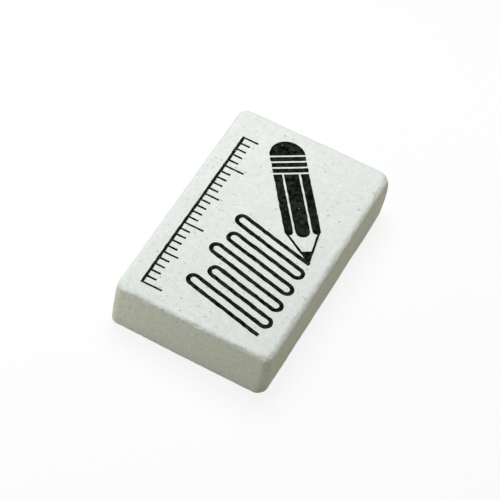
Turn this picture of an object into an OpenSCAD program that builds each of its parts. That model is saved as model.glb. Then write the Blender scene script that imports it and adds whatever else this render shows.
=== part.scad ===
// Small block eraser: one slab of soft white rubber, cut to size and tumbled until every
// edge and corner is round, with a drawing printed in black ink on its top face.
// X runs along the block, Y across it and Z up. The origin is at the middle of the base.

/* [Block] */
// Length of the block
block_l = 32; // [26:0.5:60]
// Width of the block
block_w = 19.5; // [16:0.5:40]
// Thickness of the block
block_h = 6.7; // [5:0.1:15]

/* [Tumbled edges] */
// Round along the top and bottom edges
edge_r = 0.65; // [0.3:0.05:0.9]
// Round of the four upright corners, seen from above
corner_r = 1.3; // [1.3:0.05:4]
// How far the sides swell out at half height
side_swell = 0.12; // [0.04:0.02:0.4]

/* [Print] */
// Bare rim between the print and the sides of the block
print_margin = 2.2; // [1.6:0.1:3]
// Thickness of the ink
ink_film = 0.04; // [0.02:0.01:0.1]

/* [Printed scale] */
// Distance between the marks
mark_pitch = 1; // [0.8:0.1:2]
// Width of a mark
mark_w = 0.24; // [0.15:0.01:0.4]
// Length of a short mark
mark_l = 1.1; // [0.6:0.1:1.4]
// How much longer every fifth mark is, and every tenth again
mark_step = 0.6; // [0.2:0.1:0.8]
// Thickness of the line that carries the marks
rule_t = 0.34; // [0.2:0.02:0.6]

/* [Printed pencil] */
// Width of the pencil
pencil_w = 4.2; // [3:0.1:5]
// Slope of the pencil, from the length of the block
pencil_tilt = 35; // [30:1:42]
// Length of the sharpened point
point_l = 4.8; // [3.5:0.1:6]
// Length of the bared lead at the tip
lead_l = 1.9; // [1:0.1:2.6]
// Thickness of the lines along the sharpened wood
wood_line = 0.26; // [0.16:0.02:0.4]
// Width of the two outer faces of the barrel
side_face_w = 1; // [0.6:0.05:1.2]
// White line between the faces of the barrel
face_gap = 0.24; // [0.15:0.01:0.4]
// Width of a band of the metal sleeve
band_w = 0.6; // [0.3:0.05:0.9]
// White line between the bands
band_gap = 0.26; // [0.15:0.01:0.4]
// Number of bands
bands = 3; // [2:1:4]

/* [Printed scribble] */
// Distance between the strokes
stroke_pitch = 1.34; // [1:0.02:2]
// Width of a stroke
stroke_w = 0.5; // [0.3:0.02:0.7]
// Lean of the strokes, from the width of the block
stroke_lean = 14; // [0:1:25]
// White gap between the scribble and the scale
scribble_gap = 0.9; // [0.5:0.1:2]
// How unevenly the strokes end
stroke_unevenness = 1.6; // [0:0.1:2.5]

/* [Hidden] */
$fn = 64;
rubber_colour = [0.87, 0.88, 0.86];
ink_colour = [0.09, 0.09, 0.09];

// The block between the centres of its four corners
core_l = block_l - 2 * corner_r;
core_w = block_w - 2 * corner_r;

// Arc of a swollen side, and the edge rounds that touch it and the flat faces
side_arc_r = (block_h ^ 2 / 4 + side_swell ^ 2) / (2 * side_swell);
side_arc_x = corner_r - side_arc_r;
edge_rise = block_h / 2 - edge_r;
edge_x = side_arc_x + sqrt((side_arc_r - edge_r) ^ 2 - edge_rise ^ 2);
edge_angle = asin(edge_rise / (side_arc_r - edge_r));

// Field of the print, and the part of it under the scale
print_l = block_l - 2 * print_margin;
print_w = block_w - 2 * print_margin;
scale_h = rule_t + mark_l + 2 * mark_step;
picture_top = print_w / 2 - scale_h - scribble_gap;
picture_bottom = -print_w / 2;
marks = floor(print_l / (5 * mark_pitch)) * 5;

// The pencil reaches from the bottom line of the picture to its upper right corner
pencil_r = pencil_w / 2;
butt = [print_l / 2 - pencil_r, picture_top - pencil_r];
tip_y = picture_bottom + stroke_w / 2;
pencil_l = (butt.y - tip_y) / sin(pencil_tilt);
tip = [butt.x - pencil_l * cos(pencil_tilt), tip_y];
taper = pencil_r / point_l;
middle_face_w = pencil_w - 2 * (side_face_w + face_gap);
barrel_l = pencil_l - point_l - bands * (band_w + band_gap);

// The scribble starts at the tip and works back to the left end of the field
stroke_step = stroke_pitch * cos(stroke_lean);
strokes = floor((tip.x + print_l / 2 - stroke_w / 2) / stroke_pitch);
stroke_rise = (picture_top - tip_y - stroke_pitch) / cos(stroke_lean);

// Half of the block's edge, from a corner's centre line out to the swollen side
module edge_section() {
    reach = 2 * corner_r;
    square([edge_x, block_h]);
    intersection() {
        translate([side_arc_x, block_h / 2]) circle(side_arc_r);
        polygon([
            [edge_x, edge_r],
            [edge_x + reach, edge_r - reach * tan(edge_angle)],
            [edge_x + reach, block_h - edge_r + reach * tan(edge_angle)],
            [edge_x, block_h - edge_r]
        ]);
    }
    for (low = [true, false])
        translate([edge_x, low ? edge_r : block_h - edge_r])
            mirror([0, low ? 1 : 0])
                intersection() {
                    circle(edge_r);
                    polygon([
                        [0, 0],
                        [reach, reach * tan(edge_angle)],
                        [reach, reach],
                        [0, reach]
                    ]);
                }
}

// Rubber slab: the edge section is turned about each corner and drawn out along each side
module eraser_block() {
    color(rubber_colour) {
        translate([-core_l / 2, -core_w / 2, 0]) cube([core_l, core_w, block_h]);
        for (side = [0:3]) {
            out = side % 2 == 0 ? core_l : core_w;
            along = side % 2 == 0 ? core_w : core_l;
            rotate(90 * side)
                translate([out / 2, along / 2, 0]) {
                    rotate_extrude(angle = 90) edge_section();
                    rotate([90, 0, 0]) linear_extrude(along) edge_section();
                }
        }
    }
}

// Bar of ink along X, from the origin, with its middle on the X axis
module ink_bar(l, w) {
    translate([0, -w / 2, 0]) cube([l, w, ink_film]);
}

// Half of a round spot of ink, bulging towards +Y
module ink_half_spot(r) {
    rotate_extrude(angle = 180) square([r, ink_film]);
}

// Scale: a line with a mark at every pitch, longer at every fifth and every tenth
module printed_scale() {
    translate([0, -rule_t, 0]) cube([marks * mark_pitch + mark_w, rule_t, ink_film]);
    for (i = [0:marks]) {
        length = mark_l + (i % 5 == 0 ? mark_step : 0) + (i % 10 == 0 ? mark_step : 0);
        translate([i * mark_pitch, -rule_t - length, 0]) cube([mark_w, length, ink_film]);
    }
}

// Pencil along X with its tip at the origin: lead, edges of the wood, barrel, sleeve and butt
module printed_pencil() {
    linear_extrude(ink_film) {
        polygon([[0, 0], [lead_l, -lead_l * taper], [lead_l, lead_l * taper]]);
        for (side = [-1, 1])
            polygon([
                [lead_l, side * lead_l * taper],
                [point_l, side * pencil_r],
                [point_l, side * (pencil_r - wood_line)],
                [lead_l, side * (lead_l * taper - wood_line)]
            ]);
    }
    translate([point_l, 0, 0]) {
        barrel_face(middle_face_w);
        for (side = [-1, 1])
            translate([0, side * (pencil_r - side_face_w / 2), 0]) barrel_face(side_face_w);
    }
    for (i = [1:bands])
        translate([pencil_l - i * (band_w + band_gap), 0, 0]) ink_bar(band_w, pencil_w);
    translate([pencil_l, 0, 0]) rotate(-90) ink_half_spot(pencil_r);
}

// One face of the pencil's barrel, scalloped where the sharpener cut it
module barrel_face(w) {
    ink_bar(barrel_l - band_gap, w);
    rotate(90) ink_half_spot(w / 2);
}

// Height of the turn after stroke k, along the strokes: even turns are at the top
function turn_height(k) =
    -(k + 0.5) * stroke_step * tan(stroke_lean)
    + (k % 2 == 0 ? stroke_rise - stroke_unevenness * (1 + sin(k * 77)) / 2 : stroke_step / 2);

// Scribble: slanting strokes joined by half turns, from the pencil's tip to the left
module printed_scribble() {
    rotate(-stroke_lean) {
        for (k = [0:strokes]) {
            start = k == 0 ? 0 : turn_height(k - 1);
            end = turn_height(k);
            translate([-k * stroke_step, start, 0])
                rotate(end > start ? 90 : -90) ink_bar(abs(end - start), stroke_w);
        }
        for (k = [0:strokes - 1])
            translate([-(k + 0.5) * stroke_step, turn_height(k), 0])
                rotate(k % 2 == 0 ? 0 : 180)
                    rotate_extrude(angle = 180)
                        translate([(stroke_step - stroke_w) / 2, 0]) square([stroke_w, ink_film]);
    }
}

// Ink on the top face: the scale along one long edge, the pencil and its scribble below it
module top_print() {
    color(ink_colour)
        translate([0, 0, block_h]) {
            translate([-print_l / 2, print_w / 2, 0]) printed_scale();
            translate(tip) {
                rotate(pencil_tilt) printed_pencil();
                printed_scribble();
            }
        }
}

eraser_block();
top_print();
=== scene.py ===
"""Looks of the block eraser: tumbled white rubber with a drawing printed in black on its top face.

Lengths are in millimetres until a mesh is made, and MM turns them into metres.
"""

import math

import bpy
import numpy as np
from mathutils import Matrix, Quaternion, Vector


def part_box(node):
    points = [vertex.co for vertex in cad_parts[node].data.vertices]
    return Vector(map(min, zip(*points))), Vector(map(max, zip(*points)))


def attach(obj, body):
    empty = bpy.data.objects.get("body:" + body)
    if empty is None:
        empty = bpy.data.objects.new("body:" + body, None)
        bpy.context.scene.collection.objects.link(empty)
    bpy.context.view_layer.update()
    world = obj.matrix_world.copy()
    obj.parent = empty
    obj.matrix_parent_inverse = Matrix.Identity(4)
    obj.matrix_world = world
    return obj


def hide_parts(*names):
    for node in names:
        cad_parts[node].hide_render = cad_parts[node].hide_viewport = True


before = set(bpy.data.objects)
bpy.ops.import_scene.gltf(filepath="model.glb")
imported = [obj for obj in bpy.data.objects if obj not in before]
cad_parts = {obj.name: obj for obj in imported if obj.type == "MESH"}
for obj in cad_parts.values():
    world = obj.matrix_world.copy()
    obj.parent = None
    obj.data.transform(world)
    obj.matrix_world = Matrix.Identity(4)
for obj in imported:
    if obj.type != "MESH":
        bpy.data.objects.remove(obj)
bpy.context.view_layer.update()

# The eraser block
# One slab of soft white rubber, filled with chalk and cut from a sheet. The cut blocks are
# tumbled in a drum, which rounds every edge and corner a little unevenly, swells the sides
# and leaves a dry, finely pitted skin.

MM = 0.001
block_low, block_high = (np.array(corner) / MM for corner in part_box("eraser_block"))
HALF_L, HALF_W, BLOCK_H = block_high
# Steps of the mesh on the flat faces and near the edges, and the width of the fine strip there
FLAT_STEP = 0.20
EDGE_STEP = 0.08
EDGE_ZONE = 1.2
# Rounds of the four sides in turn: front end, right side, back end, left side
TOP_ROUND = np.array([0.57, 0.71, 0.72, 0.55])
BASE_ROUND = np.array([0.65, 0.65, 0.70, 0.70])
# How far the round of one side carries over into the next
ROUND_SPREAD = 1.2
# Shares of the height between which the rounds of the base give way to those of the top
ROUND_BLEND = (0.35, 0.65)
# Upright corners in turn: front right, back right, back left, front left
CORNER_BASE_R = np.array([1.30, 1.75, 0.95, 0.85])
CORNER_MIDDLE_R = np.array([1.05, 0.95, 0.90, 0.95])
CORNER_TOP_R = np.array([0.90, 1.45, 1.05, 1.15])
# How much more the edges are rounded at those corners, and how far from a corner
CORNER_BASE_WEAR = np.array([0.10, 0.50, 0.10, 0.05])
CORNER_TOP_WEAR = np.array([0.30, 0.40, 0.15, 0.20])
CORNER_REACH = 1.6
SIDE_SWELL = 0.12
# How far the two ends are from square, at the sides of the block
END_SKEW = 0.12
# The largest part of a normal falls short of one by this where an edge counts in full
EDGE_LEAN = 0.15
# Wear of the top edges of the four sides, and that of the base edges as a share of it
EDGE_WEAR = np.array([1.15, 1.05, 0.5, 0.5])
BASE_WEAR = 0.2
# Length and height of the waves in the skin, and of those that wear adds along the edges
SKIN_WAVES = ((6.0, 0.010), (1.4, 0.004), (0.5, 0.0035))
EDGE_WAVES = ((3.2, 0.018), (1.0, 0.013), (0.45, 0.010))
WAVE_COUNT = 40
WAVE_SPREAD = (0.75, 1.35)
# Spacing, share of the cubes that hold one, and radius of the pits in the skin and the dents of worn edges
PITS = (1.5, 0.45, 0.24)
CHIPS = (1.3, 0.35, 0.32)
CRUMBS = (0.6, 0.5, 0.15)
PIT_DEPTH = 0.026
CHIP_DEPTH = 0.09
CRUMB_DEPTH = 0.06
CUBE_MARGIN = 3
NEVER_ZERO = 1e-9


def waves(points, length, height, seed):
    """Sum of sine waves of about that length, in seeded directions and phases, with that typical height."""
    rng = np.random.default_rng(seed)
    direction = rng.normal(size=(WAVE_COUNT, 3))
    direction /= np.linalg.norm(direction, axis=1, keepdims=True)
    turns = 2 * np.pi / (length * rng.uniform(*WAVE_SPREAD, (WAVE_COUNT, 1)))
    phase = rng.uniform(0, 2 * np.pi, WAVE_COUNT)
    return height * np.sqrt(2 / WAVE_COUNT) * np.sin(points @ (direction * turns).T + phase).sum(1)


def dents(points, spacing, share, radius, seed):
    """Round dents between 0 and 1. Space is cut into cubes, a share of which hold a spot at a drawn place.
    The depth is a bell curve of the distance to a spot, and the deepest of the 27 nearest cubes counts."""
    rng = np.random.default_rng(seed)
    cubes = np.ceil((block_high - block_low) / spacing).astype(int) + 2 * CUBE_MARGIN
    spots = rng.random((*cubes, 3))
    held = rng.random(cubes) < share
    home = np.floor((points - block_low) / spacing).astype(int) + CUBE_MARGIN
    depth = np.zeros(len(points))
    for offset in np.ndindex(3, 3, 3):
        cube = home + np.array(offset) - 1
        key = tuple(cube.T)
        spot = block_low + (cube - CUBE_MARGIN + spots[key]) * spacing
        distance = np.linalg.norm(points - spot, axis=1)
        depth = np.maximum(depth, held[key] * np.exp(-((distance / radius) ** 2)))
    return depth


def relief(points, edge):
    """Height of the rubber's skin over the smooth block: waves and small pits all over, and on the rounded
    edges, as far as `edge` goes, the waves, chips and crumbled spots of wear as well."""
    skin = sum(waves(points, *wave, seed) for seed, wave in enumerate(SKIN_WAVES))
    wear = sum(waves(points, *wave, seed) for seed, wave in enumerate(EDGE_WAVES, start=10))
    small_pits = PIT_DEPTH * dents(points, *PITS, seed=20)
    chips = CHIP_DEPTH * dents(points, *CHIPS, seed=23)
    crumbs = CRUMB_DEPTH * dents(points, *CRUMBS, seed=22)
    return skin - small_pits + edge * (wear - chips - crumbs)


def ease(value, start, end):
    """0 at the start, 1 at the end and a smooth slope between them: three squares less two cubes."""
    share = np.clip((value - start) / (end - start), 0, 1)
    return share * share * (3 - 2 * share)


def box_shell(counts):
    """Points and quads of the six faces of a box that is cut into that many cells along each axis. A quad
    is its cell's four corners, taken anticlockwise seen from outside, and shared corners are merged."""
    faces = []
    for axis in range(3):
        a, b = [other for other in range(3) if other != axis]
        u, v = np.meshgrid(np.arange(counts[a]), np.arange(counts[b]), indexing="ij")
        for level in (0, counts[axis]):
            cells = np.zeros((u.size, 4, 3), int)
            cells[:, :, axis] = level
            cells[:, :, a] = u.reshape(-1, 1) + np.array([0, 1, 1, 0])
            cells[:, :, b] = v.reshape(-1, 1) + np.array([0, 0, 1, 1])
            turned = (level == 0) != (axis == 1)
            faces.append(cells[:, ::-1] if turned else cells)
    corners = np.concatenate(faces).reshape(-1, 3)
    lattice, index = np.unique(corners, axis=0, return_inverse=True)
    return lattice, index.reshape(-1, 4)


def graded_steps(length):
    """Places along one axis of the block, close together near both ends and wider apart between them."""
    fine = np.arange(0, EDGE_ZONE, EDGE_STEP)
    coarse_count = math.ceil((length - 2 * EDGE_ZONE) / FLAT_STEP) + 1
    coarse = np.linspace(EDGE_ZONE, length - EDGE_ZONE, coarse_count)
    return np.concatenate([fine, coarse, length - fine[::-1]])


def tumbled_block():
    """The shell of a box's point grid, each point moved to lie one edge round away from the nearest point
    of a core, which is the block shrunk by that round, with round corners in plan. The rounds blend from
    side to side and from base to top, and grow at a worn corner by a bell curve of the distance to it.
    A corner's radius is the parabola through its values at base, middle and top. The sides then swell by
    a parabola of the height, the skin gets its relief, and the block is skewed because its two end cuts
    aren't quite parallel. Returns points, normals, quads and the points' edge weights."""
    size = np.array([2 * HALF_L, 2 * HALF_W, BLOCK_H])
    steps = [graded_steps(length) for length in size]
    lattice, quads = box_shell([len(places) - 1 for places in steps])
    sharp = np.column_stack([places[index] for places, index in zip(steps, lattice.T)])
    sharp -= np.array([HALF_L, HALF_W, 0])
    rise = sharp[:, 2] / BLOCK_H

    to_sides = np.column_stack([sharp[:, :2] + size[:2] / 2, size[:2] / 2 - sharp[:, :2]])
    side_share = np.exp(-to_sides / ROUND_SPREAD)
    side_share /= side_share.sum(1, keepdims=True)
    upper = ease(rise, *ROUND_BLEND)
    round_r = side_share @ TOP_ROUND * upper + side_share @ BASE_ROUND * (1 - upper)
    front, right = sharp[:, 0] < 0, sharp[:, 1] < 0
    corner = np.where(front, np.where(right, 0, 3), np.where(right, 1, 2))
    corner_r = CORNER_BASE_R[corner] * (1 - rise) * (1 - 2 * rise)
    corner_r += CORNER_MIDDLE_R[corner] * 4 * rise * (1 - rise)
    corner_r += CORNER_TOP_R[corner] * rise * (2 * rise - 1)
    to_corner = np.linalg.norm(size[:2] / 2 - np.abs(sharp[:, :2]), axis=1)
    corner_wear = CORNER_BASE_WEAR[corner] * (1 - upper) + CORNER_TOP_WEAR[corner] * upper
    round_r += corner_wear * np.exp(-((to_corner / CORNER_REACH) ** 2))
    round_r = np.minimum(round_r, corner_r)

    half = np.array([HALF_L, HALF_W]) - SIDE_SWELL
    plan = sharp[:, :2] * half / np.array([HALF_L, HALF_W])
    inner = half - corner_r[:, None]
    pivot = np.clip(plan, -inner, inner)
    arm = plan - pivot
    reach = np.maximum(np.linalg.norm(arm, axis=1), NEVER_ZERO)
    core_reach = np.minimum(reach, corner_r - round_r)
    core_plan = pivot + arm * (core_reach / reach)[:, None]
    core = np.column_stack([core_plan, np.clip(sharp[:, 2], round_r, BLOCK_H - round_r)])
    out = np.column_stack([plan, sharp[:, 2]]) - core
    normal = out / np.linalg.norm(out, axis=1, keepdims=True)
    points = core + round_r[:, None] * normal

    edge = ease(1 - np.abs(normal).max(1), 0, EDGE_LEAN) * (side_share @ EDGE_WEAR)
    skin = relief(points, edge * (BASE_WEAR + (1 - BASE_WEAR) * upper))
    swell = SIDE_SWELL * (1 - (2 * points[:, 2] / BLOCK_H - 1) ** 2)
    points[:, :2] += normal[:, :2] * swell[:, None]
    points += normal * skin[:, None]
    points[:, 0] *= 1 - END_SKEW * points[:, 1] / (HALF_L * HALF_W)
    points[:, 2] = np.maximum(points[:, 2], 0)
    return points, normal, quads, edge


def put_mesh(name, points, quads):
    """A smooth-shaded object at the origin, with its points, in millimetres, turned into metres."""
    mesh = bpy.data.meshes.new(name)
    mesh.from_pydata(points * MM, [], quads.tolist())
    mesh.update()
    mesh.shade_smooth()
    piece = bpy.data.objects.new(name, mesh)
    bpy.context.scene.collection.objects.link(piece)
    return piece


def put_attribute(piece, name, values):
    """A number at each point of the piece's mesh, for its material to read."""
    layer = piece.data.attributes.new(name, "FLOAT", "POINT")
    layer.data.foreach_set("value", np.asarray(values, np.float32))


class Level:
    """A value that varies over a surface. Sums, products and differences of levels add Math nodes."""

    def __init__(self, finish, socket):
        self.finish = finish
        self.socket = socket

    def math(self, operation, first, second):
        return self.finish.node("ShaderNodeMath", {"operation": operation}, {0: first, 1: second})

    def __add__(self, other):
        return self.math("ADD", self, other)

    __radd__ = __add__

    def __mul__(self, other):
        return self.math("MULTIPLY", self, other)

    __rmul__ = __mul__

    def __sub__(self, other):
        return self.math("SUBTRACT", self, other)

    def __rsub__(self, other):
        return self.math("SUBTRACT", other, self)

    def step(self, low, high):
        """0 below `low`, 1 above `high`, and an even slope between them."""
        return self.finish.node("ShaderNodeMapRange", {"clamp": True}, {0: self, 1: low, 2: high})


# Where a speck is still full and where it is gone, in radii, and how strongly every bump shows
SPECK_CORE = 0.5
SPECK_RIM = 1.3
BUMP_STRENGTH = 0.4


class Finish:
    """The shader nodes of one material, or of the sky, round the shader of that name."""

    def __init__(self, owner, shader):
        owner.use_nodes = True
        self.tree = owner.node_tree
        self.shader = self.tree.nodes[shader]

    def fill(self, node, inputs):
        """Links a level to each named socket, or sets a plain value on it."""
        for key, value in inputs.items():
            if isinstance(value, Level):
                self.tree.links.new(value.socket, node.inputs[key])
            else:
                node.inputs[key].default_value = value

    def node(self, kind, settings=None, inputs=None, output=0):
        """Adds a node of that type, sets its settings and then its sockets, and gives one of its outputs."""
        node = self.tree.nodes.new(kind)
        for key, value in (settings or {}).items():
            setattr(node, key, value)
        self.fill(node, inputs or {})
        return Level(self, node.outputs[output])

    def place(self):
        """Where a point of the piece is, in the piece's own frame."""
        return self.node("ShaderNodeTexCoord", output="Object")

    def attribute(self, name):
        """A number that the piece's mesh holds at its points."""
        return self.node("ShaderNodeAttribute", {"attribute_name": name}, None, "Fac")

    def mix(self, amount, first, second):
        """A colour that goes from the first to the second as the amount goes from 0 to 1."""
        return self.node("ShaderNodeMix", {"data_type": "RGBA"}, {0: amount, 6: first, 7: second}, 2)

    def noise(self, size, detail=2.0, roughness=0.5, output="Fac"):
        """Soft noise between 0 and 1, with lumps of that size in millimetres."""
        inputs = {"Scale": 1 / (size * MM), "Detail": detail, "Roughness": roughness}
        return self.node("ShaderNodeTexNoise", None, {"Vector": self.place(), **inputs}, output)

    def specks(self, spacing, radius, share):
        """Uneven spots of about that radius, in a share of the cells of that spacing, both in millimetres.
        Noise pushes the places about by half a radius, so no spot is quite round, and the spots are of every
        strength from 0 to 1."""
        push = self.noise(radius, output="Color")
        reach = (radius * MM,) * 3
        moves = {0: push, 1: reach, 2: self.place()}
        moved = self.node("ShaderNodeVectorMath", {"operation": "MULTIPLY_ADD"}, moves)
        cells = {"Vector": moved, "Scale": 1 / (spacing * MM)}
        distance = self.node("ShaderNodeTexVoronoi", None, cells, "Distance")
        colour = self.node("ShaderNodeTexVoronoi", None, cells, "Color")
        chance = self.node("ShaderNodeSeparateColor", None, {0: colour}, "Red")
        inside = 1 - distance.step(SPECK_CORE * radius / spacing, SPECK_RIM * radius / spacing)
        return inside * (1 - chance.step(0, share))

    def bump(self, height, depth):
        """Normals of a relief in which a height of 1 stands for that depth in millimetres."""
        inputs = {"Strength": BUMP_STRENGTH, "Distance": depth * MM, "Height": height}
        return self.node("ShaderNodeBump", None, inputs)

    def seen(self):
        """1 on the rays that show the background, straight or in metal or glass, and 0 on the rest."""
        kinds = ("Is Camera Ray", "Is Glossy Ray", "Is Transmission Ray")
        camera_ray, glossy_ray, clear_ray = (self.node("ShaderNodeLightPath", output=kind) for kind in kinds)
        return (camera_ray + glossy_ray + clear_ray).step(0, 1)


SKIN_WHITE = (0.792, 0.838, 0.814, 1)
# Upright cut faces: partly the cut rubber's own creamier tint, partly painted warm shade of the shaded sides
CUT_CREAM_AND_SHADE = (0.763, 0.781, 0.610, 1)
CLOUD_WHITE = (0.735, 0.775, 0.745, 1)
MOTTLE_GREY = (0.64, 0.675, 0.64, 1)
GRAIN_GREY = (0.58, 0.61, 0.575, 1)
PORE_GREY = (0.54, 0.55, 0.475, 1)
# Olive grime on the worn, rounded edges: partly dirt, partly painted shade where the rounds turn from the
# light
GRIME_AND_SHADE_OLIVE = (0.60, 0.60, 0.50, 1)
CRUMB_WHITE = (0.88, 0.90, 0.86, 1)
DIRT_BROWN = (0.36, 0.335, 0.26, 1)
DARK_FILLER = (0.38, 0.405, 0.38, 1)
FINE_FILLER = (0.40, 0.425, 0.40, 1)
PALE_FILLER = (0.91, 0.93, 0.91, 1)
# Sizes of the patterns in the rubber, and of the grime, partly painted shade, and roughness of its worn
# edges
CLOUD_SIZE = 4.5
MOTTLE_SIZE = 0.65
GRAIN_SIZE = 0.22
FUZZ_SIZE = 0.09
PORE_SIZE = 0.4
GRIME_AND_SHADE_SIZE = 1.6
ROUGH_SIZE = 0.3
# Spacing, radius and share of the specks of filler, and of the dirt and pale crumbs in worn edges
DARK_SPECKS = (0.75, 0.15, 0.65)
FINE_SPECKS = (0.45, 0.08, 0.6)
PALE_SPECKS = (0.85, 0.14, 0.5)
DIRT_SPECKS = (0.55, 0.10, 0.5)
CRUMB_SPECKS = (0.5, 0.10, 0.4)
# How much of the filler is lost to sight in the cut faces
CUT_COVER = 0.65
RUBBER_BUMP = 0.035
# Uprightness of the normals between which a large face turns into a cut one
CUT_BLEND = (0.75, 0.15)


def dry_rubber():
    """Chalky white rubber, cloudy over a few millimetres and mottled over less than one: a cool skin on the
    large faces, and on the upright cut faces a creamier, darker one that is partly the cut rubber's own tint
    and partly painted shade. Specks of filler show in the skin, pores in the cut faces, and in the worn
    edges grime that is partly painted shade of the rounds, dirt and pale crumbs. Each coat of colour lies
    over the last."""
    material = bpy.data.materials.new("dry_white_rubber")
    finish = Finish(material, "Principled BSDF")
    cut = finish.attribute("cut_face")
    worn = finish.attribute("worn_edge")
    grain = finish.noise(GRAIN_SIZE, 2.0, 0.6)
    pores = finish.noise(PORE_SIZE, 3.0, 0.75).step(0.42, 0.68) * cut
    bare = 1 - cut * CUT_COVER
    dark_specks = finish.specks(*DARK_SPECKS) * bare
    coats = (
        (finish.noise(CLOUD_SIZE, 3.0).step(0.3, 0.7), 0.5, CLOUD_WHITE),
        (finish.noise(MOTTLE_SIZE, 2.0, 0.6).step(0.35, 0.7), 0.42, MOTTLE_GREY),
        (grain.step(0.35, 0.8), 0.4, GRAIN_GREY),
        (pores, 0.65, PORE_GREY),
        # Grime on the worn edges: partly dirt, partly painted shade of the rounded edges
        (worn * finish.noise(GRIME_AND_SHADE_SIZE, 2.0).step(0.4, 0.65), 0.4, GRIME_AND_SHADE_OLIVE),
        (worn * finish.specks(*CRUMB_SPECKS), 0.8, CRUMB_WHITE),
        (worn * finish.specks(*DIRT_SPECKS), 0.8, DIRT_BROWN),
        (dark_specks, 0.9, DARK_FILLER),
        (finish.specks(*FINE_SPECKS) * bare, 0.75, FINE_FILLER),
        (finish.specks(*PALE_SPECKS) * (1 - cut), 0.9, PALE_FILLER),
    )
    # The upright faces turn creamier and darker: partly the cut rubber's tint, partly painted shade
    colour = finish.mix(cut, SKIN_WHITE, CUT_CREAM_AND_SHADE)
    for pattern, strength, tint in coats:
        colour = finish.mix(pattern * strength, colour, tint)
    height = grain * 0.6 + finish.noise(FUZZ_SIZE, 1.0) * 0.3 - dark_specks * 0.5 - pores * 0.6
    height = height + worn * finish.noise(ROUGH_SIZE, 2.0, 0.6) * 2
    looks = {
        "Base Color": colour,
        "Roughness": 0.8 + grain * 0.15,
        "Normal": finish.bump(height, RUBBER_BUMP),
        "Specular IOR Level": 0.3,
    }
    finish.fill(finish.shader, looks)
    return material


block_points, block_normals, block_quads, block_edge = tumbled_block()
tumbled = put_mesh("tumbled_block", block_points, block_quads)
put_attribute(tumbled, "cut_face", ease(np.abs(block_normals[:, 2]), *CUT_BLEND))
put_attribute(tumbled, "worn_edge", block_edge)
tumbled.data.materials.append(dry_rubber())
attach(tumbled, "root")
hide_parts("eraser_block")

# The ink of the print
# A thin film of flat black ink, pressed on the top face from a rubber pad. It follows the
# skin of the rubber, its rim is a little ragged, and it misses the bottom of the pits.

# How far the film stands over the skin and reaches into it
INK_LIFT = 0.028
INK_ROOT = 0.05
INK_STEP = 0.16
# Length and height of the waves of a rim, and the half width from which a band has them in full
INK_RAGGED = (0.9, 0.014)
FULL_WANDER = 0.2
# Half width of a band where it comes to a point
INK_TIP = 0.01
INK_BLACK = (0.0012, 0.0015, 0.0010, 1)
THIN_INK = (0.031, 0.0345, 0.027, 1)
PINHOLE_GREY = (0.42, 0.44, 0.42, 1)
# Size of the thin patches, and spacing, radius and share of the pinholes
THIN_SIZE = 0.55
PINHOLES = (0.75, 0.07, 0.4)
INK_BUMP = 0.02
print_low, print_high = (np.array(corner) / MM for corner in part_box("top_print"))
PRINT_HALF_L = -print_low[0]
PRINT_HALF_W = print_high[1]


def on_rubber(plan, lift):
    """Points of the plan set on the rubber's top face, that far over its skin."""
    points = np.column_stack([plan, np.full(len(plan), BLOCK_H)])
    points[:, 2] += relief(points, 0) + lift
    return points


def strip(first, second):
    """Quads between two rows of points, or between each two neighbouring rows of two grids."""
    return np.stack([first[:-1], first[1:], second[1:], second[:-1]], -1).reshape(-1, 4)


def ink_band(path, half_width):
    """A band of ink along a path in the plan: each point of the path is spread to both sides by the half
    width there, which wanders a little, and the sheet is closed by a copy of it sunk in the rubber."""
    path = np.asarray(path, float)
    half_width = np.broadcast_to(half_width, len(path))
    ahead = np.gradient(path, axis=0)
    aside = np.column_stack([-ahead[:, 1], ahead[:, 0]])
    aside /= np.linalg.norm(aside, axis=1, keepdims=True)
    rims = []
    for sign in (-1, 1):
        rim = path + sign * aside * half_width[:, None]
        wander = waves(np.column_stack([rim, np.zeros(len(rim))]), *INK_RAGGED, seed=30)
        wander *= np.clip(half_width / FULL_WANDER, 0, 1)
        rims.append(rim + sign * aside * wander[:, None])
    across = max(3, math.ceil(2 * half_width.max() / INK_STEP) + 1)
    share = np.linspace(0, 1, across)[None, :, None]
    plan = (rims[0][:, None] * (1 - share) + rims[1][:, None] * share).reshape(-1, 2)
    top = np.arange(len(plan)).reshape(len(path), across)
    root = top + len(plan)
    faces = [
        strip(top[:, :-1], top[:, 1:]),
        strip(root[:, 1:], root[:, :-1]),
        strip(root[:, 0], top[:, 0]),
        strip(top[:, -1], root[:, -1]),
        strip(top[0], root[0]),
        strip(root[-1], top[-1]),
    ]
    points = np.concatenate([on_rubber(plan, INK_LIFT), on_rubber(plan, -INK_ROOT)])
    return points, np.concatenate(faces)


def steps_along(start, end):
    """Points at even steps on the straight line between two points of the plan."""
    start, end = np.asarray(start, float), np.asarray(end, float)
    count = max(3, math.ceil(np.linalg.norm(end - start) / INK_STEP) + 1)
    return start + np.linspace(0, 1, count)[:, None] * (end - start)


def flat_ink():
    """Flat black ink, a little grey where it is thin, with pinholes through which the rubber shows."""
    material = bpy.data.materials.new("flat_black_ink")
    finish = Finish(material, "Principled BSDF")
    thin = finish.noise(THIN_SIZE, 3.0, 0.6).step(0.40, 0.70)
    colour = finish.mix(thin, INK_BLACK, THIN_INK)
    colour = finish.mix(finish.specks(*PINHOLES) * 0.8, colour, PINHOLE_GREY)
    looks = {
        "Base Color": colour,
        "Roughness": 0.6 + thin * 0.2,
        "Normal": finish.bump(finish.noise(GRAIN_SIZE, 2.0, 0.6), INK_BUMP),
        "Specular IOR Level": 0.01,
    }
    finish.fill(finish.shader, looks)
    return material


ink = flat_ink()


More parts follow.
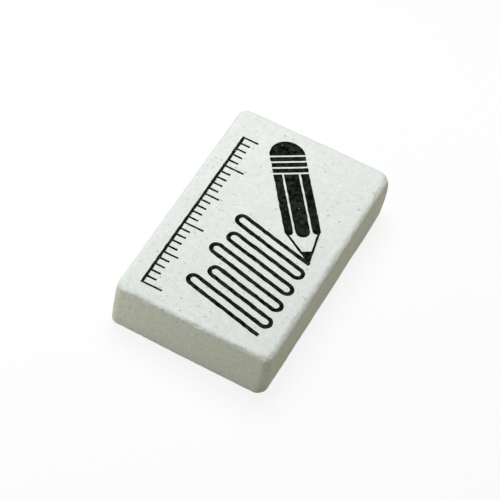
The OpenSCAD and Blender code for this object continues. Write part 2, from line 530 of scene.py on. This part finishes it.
def ink_piece(name, bands):
    """Joins bands of ink into one printed piece that stands for the print."""
    starts = np.cumsum([0] + [len(points) for points, faces in bands[:-1]])
    points = np.concatenate([points for points, faces in bands])
    faces = np.concatenate([faces + start for (_, faces), start in zip(bands, starts)])
    piece = put_mesh(name, points, faces)
    piece.data.materials.append(ink)
    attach(piece, "root")
    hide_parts("top_print")


# The printed scale
# A line along one long edge of the top face with a mark at every millimetre, longer at every
# fifth and every tenth. It is printed in the same pass as the rest of the drawing.

MARK_PITCH = 1.0
MARK_W = 0.24
MARK_L = 1.1
MARK_STEP = 0.6
RULE_T = 0.34
marks = int(2 * PRINT_HALF_L // (5 * MARK_PITCH)) * 5
mark_top = PRINT_HALF_W - RULE_T
rule_y = PRINT_HALF_W - RULE_T / 2
rule_end = marks * MARK_PITCH + MARK_W - PRINT_HALF_L
scale_bands = [ink_band(steps_along((-PRINT_HALF_L, rule_y), (rule_end, rule_y)), RULE_T / 2)]
for mark in range(marks + 1):
    length = MARK_L + MARK_STEP * (mark % 5 == 0) + MARK_STEP * (mark % 10 == 0)
    mark_x = mark * MARK_PITCH + MARK_W / 2 - PRINT_HALF_L
    scale_bands.append(ink_band(steps_along((mark_x, mark_top), (mark_x, mark_top - length)), MARK_W / 2))
ink_piece("printed_scale", scale_bands)

# The printed pencil
# A six-sided pencil seen from the side, drawn in solid black with white lines: lead, sharpened
# wood, three faces of the barrel with scalloped ends, the banded sleeve and the round butt.

PENCIL_R = 2.1
PENCIL_TILT = math.radians(35)
POINT_L = 4.8
LEAD_L = 1.9
WOOD_LINE = 0.26
SIDE_FACE_W = 1.0
FACE_GAP = 0.24
BAND_W = 0.6
BAND_GAP = 0.26
BANDS = 3
SCRIBBLE_GAP = 0.9
STROKE_W = 0.5
# Points along the lead, the wood, the scalloped end of a face and the round butt
LEAD_POINTS = 14
WOOD_POINTS = 22
SCALLOP_POINTS = 14
BUTT_POINTS = 26
picture_top = PRINT_HALF_W - RULE_T - MARK_L - 2 * MARK_STEP - SCRIBBLE_GAP
butt = np.array([PRINT_HALF_L - PENCIL_R, picture_top - PENCIL_R])
tip_y = STROKE_W / 2 - PRINT_HALF_W
pencil_l = (butt[1] - tip_y) / math.sin(PENCIL_TILT)
pencil_way = np.array([math.cos(PENCIL_TILT), math.sin(PENCIL_TILT)])
pencil_side = np.array([-pencil_way[1], pencil_way[0]])
tip = butt - pencil_l * pencil_way
taper = PENCIL_R / POINT_L
barrel_l = pencil_l - POINT_L - BANDS * (BAND_W + BAND_GAP) - BAND_GAP


def on_pencil(along, aside=0):
    """Plan points at distances from the tip along the pencil and to its side."""
    along, aside = np.broadcast_arrays(along, aside)
    return tip + np.multiply.outer(along, pencil_way) + np.multiply.outer(aside, pencil_side)


def half_round(along, radius):
    """Half width of a half disc at a distance along it from its straight edge, never quite zero."""
    return np.sqrt(np.maximum(radius**2 - along**2, INK_TIP**2))


def barrel_face(aside, half_width):
    """One face of the barrel: a half circle at its front, then a band of even width up to the sleeve."""
    front = half_width * np.sin(np.linspace(-np.pi / 2, 0, SCALLOP_POINTS))
    along = np.concatenate([front, np.linspace(0, barrel_l, math.ceil(barrel_l / INK_STEP))[1:]])
    return ink_band(on_pencil(POINT_L + along, aside), half_round(np.minimum(along, 0), half_width))


lead = np.linspace(0, LEAD_L, LEAD_POINTS)
wood = np.linspace(LEAD_L, POINT_L, WOOD_POINTS)
cap = PENCIL_R * np.sin(np.linspace(0, np.pi / 2, BUTT_POINTS))
pencil_bands = [
    ink_band(on_pencil(lead), np.maximum(lead * taper, INK_TIP)),
    barrel_face(0, PENCIL_R - SIDE_FACE_W - FACE_GAP),
    ink_band(on_pencil(pencil_l + cap), half_round(cap, PENCIL_R)),
]
for side in (-1, 1):
    pencil_bands.append(ink_band(on_pencil(wood, side * (wood * taper - WOOD_LINE / 2)), WOOD_LINE / 2))
    pencil_bands.append(barrel_face(side * (PENCIL_R - SIDE_FACE_W / 2), SIDE_FACE_W / 2))
for band in range(1, BANDS + 1):
    band_start = pencil_l - band * (BAND_W + BAND_GAP)
    band_path = steps_along(on_pencil(band_start), on_pencil(band_start + BAND_W))
    pencil_bands.append(ink_band(band_path, PENCIL_R))
ink_piece("printed_pencil", pencil_bands)

# The printed scribble
# One line that runs from the pencil's tip to and fro across the face: slanting strokes of
# uneven height joined by half turns. It is printed in the same pass as the pencil.

STROKE_PITCH = 1.34
STROKE_LEAN = math.radians(14)
STROKE_UNEVENNESS = 1.6
# Angle between one stroke and the next in the sine that makes their heights uneven
UNEVEN_TURN = math.radians(77)
TURN_POINTS = 12
stroke_step = STROKE_PITCH * math.cos(STROKE_LEAN)
strokes = int((tip[0] + PRINT_HALF_L - STROKE_W / 2) // STROKE_PITCH)
stroke_rise = (picture_top - tip_y - STROKE_PITCH) / math.cos(STROKE_LEAN)


def turn_height(stroke):
    """Height of the turn after a stroke, measured along the strokes: even turns are at the top."""
    base = -(stroke + 0.5) * stroke_step * math.tan(STROKE_LEAN)
    uneven = STROKE_UNEVENNESS * (1 + math.sin(stroke * UNEVEN_TURN)) / 2
    return base + (stroke_rise - uneven if stroke % 2 == 0 else stroke_step / 2)


def scribble_line():
    """The scribble's path: stroke, half circle, stroke and so on, in steps, turned by the strokes' lean."""
    turn = np.linspace(0, np.pi, TURN_POINTS)[1:-1]
    line = []
    for stroke in range(strokes + 1):
        stroke_x = -stroke * stroke_step
        start = turn_height(stroke - 1) if stroke else 0.0
        line.append(steps_along((stroke_x, start), (stroke_x, turn_height(stroke))))
        if stroke < strokes:
            up = 1 if stroke % 2 == 0 else -1
            turn_x = stroke_step / 2 * np.cos(turn) - (stroke + 0.5) * stroke_step
            turn_y = turn_height(stroke) + up * stroke_step / 2 * np.sin(turn)
            line.append(np.column_stack([turn_x, turn_y]))
    cosine, sine = math.cos(STROKE_LEAN), math.sin(STROKE_LEAN)
    return tip + np.concatenate(line) @ np.array([[cosine, -sine], [sine, cosine]])


ink_piece("printed_scribble", [ink_band(scribble_line(), STROKE_W / 2)])

# The floor
# A plain pale table top that carries on past the view. The camera sees it almost white, with
# a faint shadow, and it gives the sides of the block a dim, warm light.

FLOOR_HALF = 3000
FLOOR_BOUNCE = (0.57, 0.555, 0.44, 1)
FLOOR_SEEN = (0.97, 0.97, 0.97, 1)
# How far the camera sees plain white in place of the lit table top
FLOOR_WHITE = 0.85
floor_corners = FLOOR_HALF * np.array([(-1, -1, 0), (1, -1, 0), (1, 1, 0), (-1, 1, 0)])
floor = put_mesh("floor", floor_corners, np.array([(0, 1, 2, 3)]))


def pale_table():
    """Matt table top: warm and dim to the light that comes off it, and white with a shadow to the camera."""
    material = bpy.data.materials.new("pale_table_top")
    finish = Finish(material, "Principled BSDF")
    seen = finish.seen()
    colour = finish.mix(seen, FLOOR_BOUNCE, FLOOR_SEEN)
    finish.fill(finish.shader, {"Base Color": colour, "Roughness": 0.9, "Specular IOR Level": 0.0})
    white = finish.node("ShaderNodeEmission", None, {"Color": (1, 1, 1, 1), "Strength": 1.0})
    matt = Level(finish, finish.shader.outputs["BSDF"])
    surface = finish.node("ShaderNodeMixShader", None, {0: seen * FLOOR_WHITE, 1: matt, 2: white})
    finish.fill(finish.tree.nodes["Material Output"], {"Surface": surface})
    return material


floor.data.materials.append(pale_table())

# The light
# One soft lamp close over the block, a cool one low on the front left, a weak warm one low on
# the back right, and an even dim sky all round.

SKY_LEVEL = 0.285
scene = bpy.context.scene
scene.view_settings.view_transform = "Standard"
scene.world = bpy.data.worlds.new("studio_sky")
sky = Finish(scene.world, "Background")
sky_strength = SKY_LEVEL + (1 - SKY_LEVEL) * sky.seen()
sky.fill(sky.shader, {"Color": (1, 1, 1, 1), "Strength": sky_strength})


def put_lamp(name, place, size, power, colour):
    """A round lamp of that size, power in watts and colour, turned towards the block."""
    lamp_data = bpy.data.lights.new(name, "AREA")
    lamp_data.shape = "DISK"
    lamp_data.size = size * MM
    lamp_data.energy = power
    lamp_data.color = colour
    lamp = bpy.data.objects.new(name, lamp_data)
    lamp.location = Vector(place) * MM
    lamp.rotation_mode = "QUATERNION"
    lamp.rotation_quaternion = (-lamp.location).to_track_quat("-Z", "Y")
    lamp.visible_camera = False
    scene.collection.objects.link(lamp)


put_lamp("main_lamp", place=(28, 24, 110), size=80, power=0.0995, colour=(1, 0.992, 0.98))
put_lamp("front_lamp", place=(-60, 75, 28), size=50, power=0.0265, colour=(0.88, 0.92, 1))
put_lamp("side_lamp", place=(48, -35, 18), size=30, power=0.0012, colour=(1, 0.98, 0.92))

# The camera
# A long lens 0.3 m away, over the front end of the block and a little to its right, turned
# about its own axis.

CAMERA_AT = Vector((-188.15, -57.66, 239.39)) * MM
CAMERA_AIM = Vector((-0.554, 0.096, 3.383)) * MM
CAMERA_ROLL = math.radians(12.42)
CAMERA_LENS = 195.66
CAMERA_SENSOR = 36
CAMERA_NEAR = 10
camera_data = bpy.data.cameras.new("camera")
camera_data.lens = CAMERA_LENS
camera_data.sensor_width = CAMERA_SENSOR
camera_data.clip_start = CAMERA_NEAR * MM
camera = bpy.data.objects.new("camera", camera_data)
camera.location = CAMERA_AT
camera.rotation_mode = "QUATERNION"
level_view = (CAMERA_AIM - CAMERA_AT).to_track_quat("-Z", "Y")
camera.rotation_quaternion = level_view @ Quaternion((0, 0, 1), CAMERA_ROLL)
scene.collection.objects.link(camera)
scene.camera = camera
